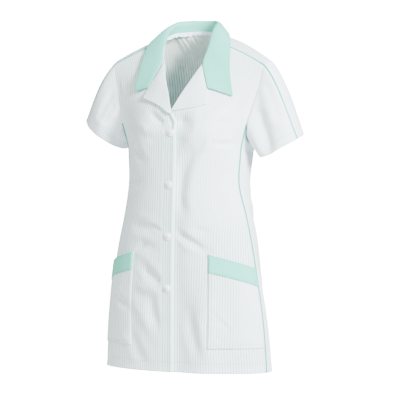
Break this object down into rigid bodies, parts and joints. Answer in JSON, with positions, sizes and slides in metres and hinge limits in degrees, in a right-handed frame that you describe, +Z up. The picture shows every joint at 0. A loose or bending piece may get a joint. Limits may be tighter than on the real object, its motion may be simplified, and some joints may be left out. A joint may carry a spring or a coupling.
{
  "type": "women's button-front work tunic",
  "caption": "Short-sleeved striped work tunic with a notched mint collar, button front, piped seams and slanted patch pockets, filled out as worn and hollow inside.",
  "frame": {"origin": "middle of the base of the neck, where the tunic hangs from the wearer's shoulders", "axes": "+Z up along the wearer's body, +X to the wearer's left, -Y out of the buttoned front"},
  "size_m": [0.5678, 0.2451, 0.8151],
  "materials": {
    "white_cotton": "white poplin with fine mint pinstripes",
    "mint_cotton": "plain mint poplin",
    "white_button": "glossy",
    "label_tape": "smooth white tape"
  },
  "bodies": {
    "root": {"front_left_skirt": "white_cotton", "front_left_waist": "white_cotton", "front_left_upper": "white_cotton", "side_panel_left": "white_cotton", "front_right_skirt": "white_cotton", "front_right_waist": "white_cotton", "front_right_upper": "white_cotton", "side_panel_right": "white_cotton", "back_skirt": "white_cotton", "back_waist": "white_cotton", "back_upper": "white_cotton", "sleeve_front_left": "white_cotton", "sleeve_back_left": "white_cotton", "lapel_left": "white_cotton", "pocket_left": "white_cotton", "pocket_band_left": "mint_cotton", "side_piping_left": "mint_cotton", "shoulder_piping_left": "mint_cotton", "sleeve_front_right": "white_cotton", "sleeve_back_right": "white_cotton", "lapel_right": "white_cotton", "pocket_right": "white_cotton", "pocket_band_right": "mint_cotton", "side_piping_right": "mint_cotton", "shoulder_piping_right": "mint_cotton", "collar_fall": "mint_cotton", "collar_stand": "mint_cotton", "button_1": "white_button", "button_2": "white_button", "button_3": "white_button", "button_4": "white_button", "neck_label": "label_tape"}
  },
  "joints": []
}
